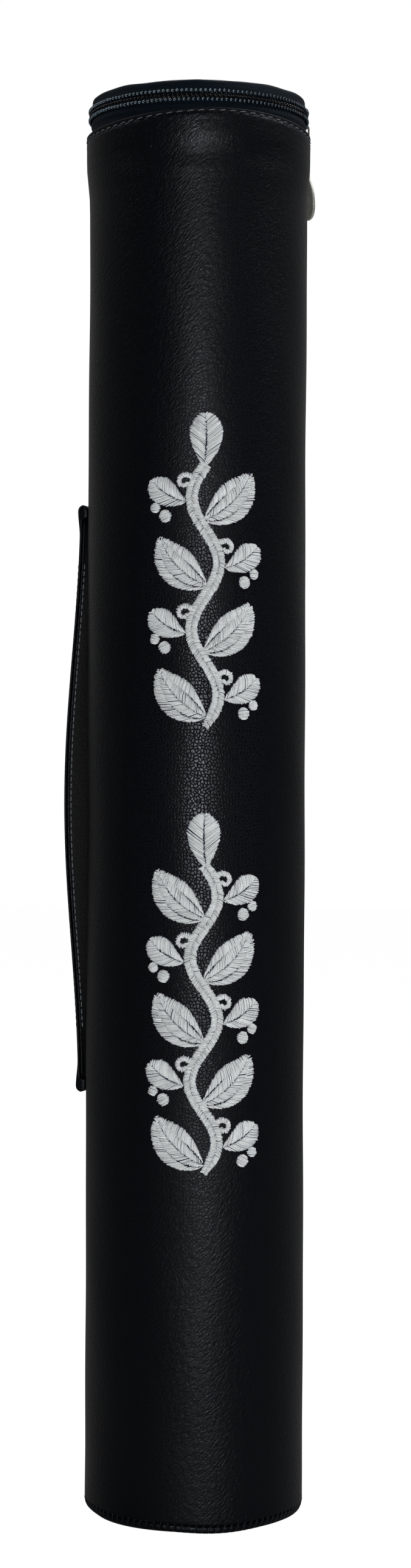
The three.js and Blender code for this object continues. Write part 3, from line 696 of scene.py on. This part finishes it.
def band(name, loop, start, stop, count, lift=None):
    """A closed profile (radius, height) swept from one angle to another, with both ends drawn shut.
    lift gives a height to add for each profile point and angle."""
    angles = np.linspace(start, stop, count)
    heights = loop[:, 1:] + (0 if lift is None else lift(loop, angles))
    rows = place(angles[None], loop[:, :1], heights).transpose(1, 0, 2)
    along = np.concatenate([[angles[0]], angles, [angles[-1]]]) * chain_radius
    across = path_lengths(np.vstack([loop, loop[:1]]))
    mesh = surface(name, drawn_shut(rows), around=True, uv=(across, along))
    uv = mesh.uv_layers[0].data
    flat = np.zeros(len(uv) * 2, np.float32)
    uv.foreach_get("uv", flat)
    uv.foreach_set("uv", flat.reshape(-1, 2)[:, ::-1].ravel())
    return mesh


lower_tape_loop = ring_loop(tape_foot, lower_tape_top, tape_inner, tape_outer, 0.2)
roll = np.linspace(0, 1, 9)
tape_roll = np.stack([tape_outer + 0.45 * np.sin(math.pi * roll) ** 2, 475 + 3.4 * roll], -1)
lower_tape_loop = np.insert(lower_tape_loop, 8, tape_roll, axis=0)
lower_tape = band("lower_tape", lower_tape_loop, zip_start, zip_end, 200)
piece(lower_tape, zip_tape, "case", "zip_tape", "lower_zip_tape")


def turned_edge(bottom):
    """Closed profile of a strip that stands on the lid's edge and turns in over its top. The top falls
    a little towards the rounded edge."""
    inward = np.linspace(lid_shoulder, turn_inner, 10)[1:-1]
    top = lid_top - lid_fall * smooth((inward - turn_inner) / (lid_shoulder - turn_inner))
    middle = lid_top - lid_fall - lid_rounding
    return np.concatenate(
        [
            [(tape_outer - 0.1, bottom), (tape_outer, bottom + 0.15)],
            np.stack([np.full(6, tape_outer), np.linspace(bottom + 0.5, middle, 6)], -1)[:-1],
            arc(lid_shoulder, middle, lid_rounding, 0, 90, 10),
            np.stack([inward, top], -1),
            [(31.25, 485.95), (31.25, 485.75), (33.9, 485), (35.6, 484.5), (tape_inner, 484)],
            [(tape_inner, bottom + 0.1)],
        ]
    )


def lid_lift(loop, angles):
    """Unevenness of the lid's edge: it lies lower at the front and at the back, as a cosine of twice
    the angle, with three small waves. On top are the turned tape's gathers, a quick sine that grows
    inwards. The underside keeps out of the waves, clear of the slider, and only the gathers reach it."""
    turn = angles[None] - front
    small = 0.12 * np.sin(turn) + 0.12 * np.cos(9 * turn + 0.6) + 0.06 * np.cos(17 * turn)
    slow = small + 0.05 - 0.2 * np.cos(2 * turn)
    inwards = np.clip((lid_shoulder - loop[:, :1]) / 3.3, 0, 1)
    gathers = 0.5 + 0.5 * np.sin(gather_count * turn + 1.5 * np.sin(7 * turn))
    underside = (loop[:, :1] <= tape_inner) & (loop[:, 1:] < lid_top - lid_fall - 0.3)
    shift = slow * smooth((loop[:, 1:] - 482) / 3) * (1 - 0.8 * inwards)
    return np.where(underside, 0, shift) - gather_depth * inwards * gathers


upper_tape = band("upper_tape", turned_edge(upper_tape_foot), zip_start, zip_end, 620, lid_lift)
piece(upper_tape, zip_tape, "lid", "zip_tape", "upper_zip_tape")

# Zip rows: two nylon coils round a filler cord, each sewn to its tape with a stitch over every turn.
# The heads of one coil lie between the heads of the other. Where the slider rests, at the closed end,
# its post has driven them apart.
coil_pitch = 1.58
coil_wire = 0.26
coil_heel = 1.78
coil_head = -0.36
coil_depth = 0.27
coil_radius = chain_radius - 0.05
row_split = 1.25
cord_away = 1.15
cord_radius = 0.2
sewing_away, sewing_reach = 1.5, 0.34
sewing_rise, sewing_radius = 0.62, 0.15
join_gap = 0.3
stop_length = 1.6
slider_reach = 5.5
slider_angle = zip_end - (join_gap + stop_length + slider_reach) / chain_radius
row_start = zip_start + (2 * join_gap + stop_length) / chain_radius
row_end = zip_end - (2 * join_gap + stop_length) / chain_radius
turns = int((row_end - row_start) * chain_radius / coil_pitch - 0.5)


def nylon(wire):
    """Black nylon, a little uneven in shade."""
    shade = wire.node("TexCoord", output="Object").noise(700, 2)
    return {"Base Color": shade.colours((0.0008, 0.0009, 0.0015, 1), (0.0030, 0.0036, 0.0055, 1))}


coil_nylon = finish("coil_nylon", {"Roughness": 0.2, "Specular IOR Level": 0.3}, nylon)


def row_shift(angle):
    """How far the slider's post has driven a row from the chain's middle: a smooth ramp 3 mm long."""
    return row_split * smooth(((angle - slider_angle) * chain_radius + 2) / 3)


chain_thread = spun_thread("chain_thread", (0.20, 0.27, 0.33, 1), (0.04, 0.06, 0.08, 1), 0.4, shaded=True)
stitch_draws = np.random.default_rng(5)


def coil(side, body, node):
    """One row of the zip. The wire goes round a long oval across the chain, straight over the front
    and on to the next turn at the back. The head swells a little where it hooks its neighbours. The
    stitches over it are palest from the front's middle to its left, and darken round the sides as
    painted shade."""
    points = 10
    turn = np.arange(turns * points) / points
    phase = (turn % 1) * 2 * math.pi
    whole = np.floor(turn)
    drift = smooth((turn % 1) * 2 - 1)
    shift = coil_pitch / 2 if side > 0 else 0
    angle = row_start + (shift + coil_pitch * (whole + 0.5 + drift)) / chain_radius
    middle, reach = (coil_heel + coil_head) / 2, (coil_heel - coil_head) / 2
    away = middle - reach * np.cos(phase)
    radius = coil_radius + coil_depth * np.sin(phase) * (1 + 0.5 * np.cos(phase))
    height = chain_height + side * (away + row_shift(angle))
    swell = coil_wire * (1 + 0.22 * np.clip(np.cos(phase), 0, 1) ** 3)
    path = place(angle, radius, height)[None]
    mesh = tubes(f"{body}_zip_coil", strands(path, swell[None], 6))
    piece(mesh, coil_nylon, body, "zip_coil", node)

    cord_angle = np.linspace(row_start, row_end, 200)
    cord_height = chain_height + side * (cord_away + row_shift(cord_angle))
    cord = place(cord_angle, coil_radius, cord_height)
    piece(tubes(f"{body}_zip_cord", strands(cord[None], cord_radius, 6)), zip_tape, body, "zip_coil")

    middle_angle = row_start + (shift + coil_pitch * (np.arange(turns) + 0.5)) / chain_radius
    step = np.linspace(-1, 1, 7)
    bend = math.pi * (1 - side * 0.1) + 2.0 * step
    stitch_angle = middle_angle[:, None] + (0.36 * np.cos(bend) + 0.1) / chain_radius
    stitch_away = sewing_away + sewing_reach * np.sin(bend) + stitch_draws.normal(0, 0.05, (turns, 1))
    over = sewing_rise - 0.40 * np.abs(step) ** 4
    stitch_height = chain_height + side * (stitch_away + row_shift(stitch_angle))
    stitch = place(stitch_angle, chain_radius + over, stitch_height)
    aside = (np.degrees(middle_angle - front) + 180) % 360 - 180
    # Each stitch's shade: a random tone, times painted shade that darkens the stitches round the sides.
    shade = stitch_draws.uniform(0.6, 1, turns) * (1 - 0.9 * smooth((np.abs(aside + 20) - 35) / 40))
    sewing = tubes(f"{body}_coil_stitches", strands(stitch, sewing_radius, 4), shade)
    piece(sewing, chain_thread, body, "zip_tape")


coil(-1, "case", "lower_zip_teeth")
coil(1, "lid", "upper_zip_teeth")

# Hinge: one leather band at the back, where the zip leaves off. It is glued under the hem and over the
# lid's edge, and folds between them.
hinge_foot = 464.9
hinge_start = zip_end + join_gap / chain_radius
hinge_stop = zip_start + 2 * math.pi - join_gap / chain_radius
hinge_leather = pebbled_leather("hinge_leather", "UV")
fold = turned_edge(chain_height)
hinge_loop = np.concatenate(
    [
        np.stack([np.full(12, tape_outer), np.linspace(hinge_foot, chain_height, 12)], -1),
        fold[2:-1],
        np.stack([np.full(12, tape_inner), np.linspace(chain_height, hinge_foot, 12)], -1),
    ]
)
hinge = piece(
    band("leather_hinge", hinge_loop, hinge_start, hinge_stop, 60, lid_lift),
    hinge_leather,
    None,
    "leather",
    "hinge_case_side",
    "hinge_lid_side",
)
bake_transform(hinge)

# Lid: a board disc faced with a domed leather disc, which is stitched close to its edge, and with a
# cloth-covered disc inside.
lid_leather = pebbled_leather("lid_leather", "Object")
lid_face_loop = disc_loop(485.8, 487.2, 31.15, 0.55, 0.4)
turned("lid_face", lid_face_loop, lid_leather, "lid", "leather", "lid_cover")
lid_inside_loop = disc_loop(482.9, 484.2, 34.0, 0.45)
turned("lid_inside", lid_inside_loop, disc_cloth, "lid", "lining", "lid_inner_disc")
lid_board_loop = np.array(
    [(0, 484.4), (34.3, 484.4), (34.6, 484.5), (34.2, 484.7), (32.5, 484.9), (0, 484.95)]
)
turned("lid_board_disc", lid_board_loop, board, "lid", "board", "lid_board")

lid_stitch_radius = 28.6
lid_stitch_count = round(2 * math.pi * lid_stitch_radius / hem_pitch)
stitch_angles = (
    np.arange(lid_stitch_count)[:, None] * 2 * math.pi / lid_stitch_count
    + share * hem_stitch_length / lid_stitch_radius
)
lid_stitch_height = 486.82
thick_thread_radius = 0.24
lid_stitch = place(stitch_angles, lid_stitch_radius, lid_stitch_height + stitch_rise)
lid_seam = tubes("lid_stitches", strands(lid_stitch, thick_thread_radius, 6))
piece(lid_seam, grey_blue_thread, "lid", "zip_tape")

# Handle: a leather strap down the left side, of an outer strip and a lining strip sewn together along
# both edges. Its ends are rolled under and sewn down, and it bows out between them.
strap_length = 203
strap_middle = 245.2
strap_angle = math.radians(158)
strap_half_width = 12.5
strip_thickness = 0.8
strip_gap = 0.15
outer_extra, lining_extra = 0.15, 0.1
strap_thickness = 1.9
strap_lift = 1.5
strap_bow = 4.5
strap_flattening = 0.6
roll_thickness = 3.9
roll_length = 4.2
roll_taper = 7
roll_clearance = 0.3


def strap_wave(from_end):
    """Share of the strap's bow at a distance from its upper end: the square of a half sine wave."""
    return np.sin(math.pi * from_end / strap_length) ** 2


def strap_place(from_end, across, above):
    """A point on the strap: down from its upper end, across it, and above the smooth case. Across the
    strap it follows the case's curve as a parabola, flatter in the middle of its length."""
    bend = (1 - strap_flattening * strap_wave(from_end)) / case_radius
    out = case_radius + above - bend * across**2 / 2
    x = out * math.cos(strap_angle) - across * math.sin(strap_angle)
    y = out * math.sin(strap_angle) + across * math.cos(strap_angle)
    z = strap_middle + strap_length / 2 - from_end
    return np.stack(np.broadcast_arrays(x, y, z), -1)


def strap_gap(from_end):
    """Height of the lining strip's lower face above the case."""
    return strap_lift + strap_bow * strap_wave(from_end)


def strip(name, stations, low, high, half_width, rounding):
    """A strip through stations down the strap. Each section runs across its lower face and back over
    its upper one, with both edges rounded as half ovals."""
    side = np.linspace(-1, 1, 23)
    level = np.ones(len(side))
    edge = np.radians(np.linspace(-75, 75, 5))
    flat_half = half_width - rounding
    bulge = flat_half + rounding * np.cos(edge)
    across = np.concatenate([side * flat_half, bulge, -side * flat_half, -bulge])
    face = np.concatenate([-level, np.sin(edge), level, -np.sin(edge)])
    middle, half = (low + high) / 2, (high - low) / 2
    above = middle[:, None] + half[:, None] * face[None]
    rings = strap_place(stations[:, None], across[None], above)
    advance = np.abs(np.diff(across)) + np.abs(np.diff(face)) * 0.4
    girth = np.concatenate([[0], np.cumsum(advance), [4 * half_width]])
    along = np.concatenate([stations[:1], stations, stations[-1:]])
    return surface(name, drawn_shut(rings), around=True, uv=(girth, along))


end_run = np.concatenate([0.02 + 1.93 * np.linspace(0, 1, 8) ** 2, np.linspace(2.2, 12, 26)])
middle_run = np.linspace(14, strap_length - 14, 90)
stations = np.concatenate([end_run, middle_run, (strap_length - end_run)[::-1]])
near = np.minimum(stations, strap_length - stations)
roll = roll_thickness / 2
roll_half = np.sqrt(np.clip(roll**2 - np.clip(roll - near, 0, None) ** 2, 0, None))
strip_low = strap_gap(stations) + strip_thickness + strip_gap
strip_high = strip_low + strip_thickness + outer_extra
opened = smooth((near - roll_length / 2) / (roll_length / 2 + roll_taper))
shut = smooth((near - roll_length) / 0.9)
strap_high = (roll_clearance + roll + roll_half) * (1 - opened) + strip_high * opened
strap_low = (roll_clearance + roll - roll_half) * (1 - shut) + strip_low * shut
strap_leather = pebbled_leather("strap_leather", "UV", 1.5)
outer_strip = strip("strap_outer", stations, strap_low, strap_high, strap_half_width, 0.9)
piece(outer_strip, strap_leather, "case", "leather", "handle_strap")

lining_stations = np.linspace(roll_length + 0.8, strap_length - roll_length - 0.8, 110)
lining_low = strap_gap(lining_stations)
lining_high = lining_low + strip_thickness + lining_extra
lining_half_width = strap_half_width - 0.5
lining_strip = strip("strap_lining", lining_stations, lining_low, lining_high, lining_half_width, 0.5)
piece(lining_strip, strap_leather, "case", "leather", "handle_strap_lining")

pale_thread = spun_thread("pale_thread", (0.17, 0.19, 0.21, 1), (0.06, 0.07, 0.08, 1), 0.45)
strap_pitch = 2.3
strap_stitch_length = 1.7
seam_inset = 2.4
seam_start = 17
middles = np.arange(roll_length + seam_start, strap_length - roll_length - seam_start, strap_pitch)
down = middles[:, None] + share * strap_stitch_length
stitches = []
for edge_side in (-1, 1):
    line = edge_side * (strap_half_width - seam_inset)
    stitches.append(strap_place(down, line, strap_gap(down) - 0.75 * stitch_rise))
    stitches.append(strap_place(down, line, strap_gap(down) + strap_thickness + stitch_rise))
strap_seams = tubes("strap_stitches", strands(np.concatenate(stitches), thick_thread_radius, 6))
piece(strap_seams, pale_thread, "case", "zip_tape")

# Slider, pull and stops: cast and pressed zip parts in satin nickel, worn smooth at their edges. The
# pull hangs on a wire ring from the slider's bridge.


def satin_metal(name, light, dark, roughness, metallic):
    """Plated metal: fine brushing as noise drawn out upwards, and patches that are paler and duller."""

    def brushing(wire):
        at = wire.node("TexCoord", output="Object")
        long_way = wire.node("Mapping", {}, {"Vector": at, "Scale": (1, 1, 0.12)})
        patch = at.noise(260, 3)
        return {
            "Base Color": patch.between(0.3, 0.7).colours(dark, light),
            "Roughness": roughness + patch * 0.14,
            "Normal": long_way.noise(2600, 2).bump(0.25, 0.00005),
        }

    return finish(name, {"Metallic": metallic}, brushing)


slider_metal = satin_metal("slider_metal", (0.30, 0.29, 0.27, 1), (0.15, 0.145, 0.135, 1), 0.3, 0.9)
pull_metal = satin_metal("pull_metal", (0.36, 0.36, 0.32, 1), (0.25, 0.25, 0.22, 1), 0.42, 0.4)


def smoothed_copy(node, name, material, body, bevel):
    """A copy of a CAD node with its points merged, its flat faces joined and its edges bevelled."""
    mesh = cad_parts[node].data.copy()
    mesh.name = name
    mesh.materials.clear()
    work = bmesh.new()
    work.from_mesh(mesh)
    bmesh.ops.remove_doubles(work, verts=work.verts, dist=2e-6)
    bmesh.ops.dissolve_limit(work, angle_limit=math.radians(2), verts=work.verts, edges=work.edges)
    work.to_mesh(mesh)
    work.free()
    mesh.materials.append(material)
    made = in_scene(name, mesh)
    edge = made.modifiers.new("edges", "BEVEL")
    edge.width = bevel * mm
    edge.segments = 2
    edge.limit_method = "ANGLE"
    edge.angle_limit = math.radians(40)
    mesh.shade_smooth()
    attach(made, body)
    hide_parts(node)


smoothed_copy("zip_slider", "slider", slider_metal, "slider", 0.12)
smoothed_copy("zip_pull", "pull", pull_metal, "pull", 0.1)
refinish(slider_metal, "pull_ring", "zip_stop_start", "zip_stop_lower", "zip_stop_upper")

# Embroidery: a climbing vine of leaves, berries and tendrils down the front, in two lengths. It is
# satin stitch in silver-white rayon: every thread crosses its shape over padding, on a navy backing.
vine_middle = 2.9
thread_pitch = 0.21
thread_radius = 0.135
start_scatter, turn_scatter, loft_scatter = 0.03, 0.022, 0.05
end_reach, end_scatter = 0.06, 0.14
vine_draws = np.random.default_rng(11)


def flat_line(start, headings, length):
    """A line in the flat (across, height) from a start: steps of even length along headings, which
    are angles in radians from straight up, towards the right."""
    step = length / (len(headings) - 1)
    moves = np.stack([np.sin(headings), np.cos(headings)], -1)[:-1] * step
    return np.vstack([[start], np.asarray(start) + np.cumsum(moves, axis=0)])


def satin(line, low, high, slant):
    """Threads and backing of one lane. line is its course, and low and high are its borders' distances
    to the line's right side. A thread starts at one border and ends at the other, further on by slant
    times its width. Gives threads (thread, point, (across, height, rise)) and a backing in rings."""
    along = path_lengths(line)
    ahead = np.gradient(line, axis=0)
    ahead /= np.linalg.norm(ahead, axis=1, keepdims=True)
    right = np.stack([ahead[:, 1], -ahead[:, 0]], -1)

    def on(start, offset, anchor):
        """A point at an offset on a thread that starts at a distance along the line."""
        distance = start + np.abs(offset - anchor) * abs(slant)
        flat = [
            np.interp(distance, along, line[:, k]) + offset * np.interp(distance, along, right[:, k])
            for k in (0, 1)
        ]
        return np.stack(flat, -1)

    count = max(3, int(along[-1] / thread_pitch))
    start = (np.arange(count) + 0.5) * along[-1] / count + vine_draws.normal(0, start_scatter, count)
    left_end = np.interp(start, along, low) - vine_draws.normal(end_reach, end_scatter, count)
    right_end = np.interp(start, along, high) + vine_draws.normal(end_reach, end_scatter, count)
    width = right_end - left_end
    anchor = left_end if slant > 0 else right_end
    offset = left_end[:, None] + width[:, None] * np.array([0, 0.1, 0.5, 0.9, 1])
    wander = vine_draws.normal(0, turn_scatter, (count, 1)) * (offset - anchor[:, None])
    flat = on(start[:, None] + wander, offset, anchor[:, None])
    loft = (0.28 + 0.09 * width + vine_draws.normal(0, loft_scatter, count))[:, None]
    rise = loft * np.array([-0.5, 0.6, 1, 0.6, -0.5])
    threads = np.concatenate([flat, rise[..., None]], -1)[width > 0.6]

    rows = np.linspace(start[0], start[-1], 20)[:, None]
    edge = 0.25
    left, right_side = np.interp(rows, along, low), np.interp(rows, along, high)
    centre = (left + right_side) / 2
    offsets = np.concatenate([left - edge, left, centre, right_side, right_side + edge, centre], 1)
    rise = np.broadcast_to([-0.12, 0.08, 0.18, 0.08, -0.12, -0.4], offsets.shape)
    backing_flat = on(rows, offsets, left if slant > 0 else right_side)
    return threads, np.concatenate([backing_flat, rise[..., None]], -1)


def leaf(start, heading, bend, length, half_width, lanes):
    """A leaf with the same number of lanes on each side of its rib, whose threads slant towards the
    tip. Its half width is a sine of the share of its length, fuller near its foot."""
    share = np.linspace(0, 1, 48)
    line = flat_line(start, heading + bend * share, length)
    half = half_width * np.sin(math.pi * share**0.78) ** 0.85
    rib = 0.1
    made = []
    for lane in range(lanes):
        near, far = rib + half * lane / lanes, rib + half * (lane + 1) / lanes
        made += [satin(line, near, far, 0.75), satin(line, -far, -near, -0.75)]
    return made


def berry(middle, radius):
    """A round berry: its threads cross a line through its middle, as chords of a circle."""
    share = np.linspace(-0.98, 0.98, 24)
    heading = vine_draws.uniform(-0.6, 0.6)
    line = np.asarray(middle) + np.outer(share * radius, [math.sin(heading), math.cos(heading)])
    half = radius * np.sqrt(1 - share**2)
    return [satin(line, -half, half, 0)]


def tendril(start, heading, side):
    """A curling tendril: its heading turns faster and faster, and it thins towards its end."""
    share = np.linspace(0, 1, 60)
    line = flat_line(start, heading + side * 5.2 * share**1.5, 10.5)
    half = 0.9 - 0.35 * share
    return [satin(line, -half, half, 0.2)]


def vine(low, high, bends):
    """One length of vine. Its stem sways as a sine between its ends. Each bend holds a large leaf on
    its hollow side, and a small leaf, a tendril and two berries on the other."""
    sway = 4.6
    foot, tip = low + 4, high - 17.5
    rise = (tip - foot) / bends
    heights = np.linspace(foot, tip, 60 * bends)

    def stem(height, out=0):
        """A point of the stem, or one level with it at a distance to the right."""
        across = vine_middle + sway * np.sin(math.pi * (height - foot) / rise) + out
        return np.stack([across, np.broadcast_to(height, np.shape(across))], -1)

    half = 2.0 * np.clip(0.5 + 0.1 * np.minimum(heights - foot, tip + 6 - heights), 0.5, 1)
    lanes = [satin(stem(heights), -half, 0 * half, 0.3), satin(stem(heights), 0 * half, half, -0.3)]
    for bend in range(bends):
        side = 1 if bend % 2 == 0 else -1
        middle = foot + rise * (bend + 0.5)
        lanes += leaf(stem(middle - 7.5, -side * 1.7), -side * 1.2, side * 0.85, 23.5, 6.3, 2)
        lanes += leaf(stem(middle - 1.5, side * 2.0), side * 1.35, -side * 0.7, 14.5, 4.5, 1)
        lanes += tendril(stem(middle + 6.5, side * 1.5), side * 0.9, side)
        lanes += berry((vine_middle + side * 13.6, middle - 6.2), 2.1)
        lanes += berry((vine_middle + side * 17.2, middle - 3.4), 1.7)
    lean = 0.15 if bends % 2 == 0 else -0.15
    return lanes + leaf(stem(tip - 1), lean, -1.7 * lean, 18.5, 5.6, 1)


rayon = spun_thread("silver_rayon", (0.82, 0.85, 0.85, 1), (0.30, 0.32, 0.33, 1), 0.34, shaded=True)
navy_backing = spun_thread("navy_backing", (0.012, 0.016, 0.06, 1), (0.004, 0.005, 0.02, 1), 0.7)


def on_skin(flat):
    """Wraps flat points (across, height, rise) round the case, upon the leather's own face."""
    angle = front + flat[..., 0] / case_radius
    return place(angle, skin_radius(angle, flat[..., 1]) + flat[..., 2], flat[..., 1])


for name, low, high, bends in (("upper_vine", 265.0, 374.2, 4), ("lower_vine", 116.2, 240.6, 5)):
    lanes = vine(low, high, bends)
    threads = on_skin(np.concatenate([threads for threads, _ in lanes]))
    shade = vine_draws.uniform(0.6, 1, len(threads))
    piece(tubes(name, strands(threads, thread_radius, 4), shade), rayon, "case", None)
    backing = on_skin(np.stack([backing for _, backing in lanes]))
    piece(tubes(f"{name}_backing", backing), navy_backing, "case", None)
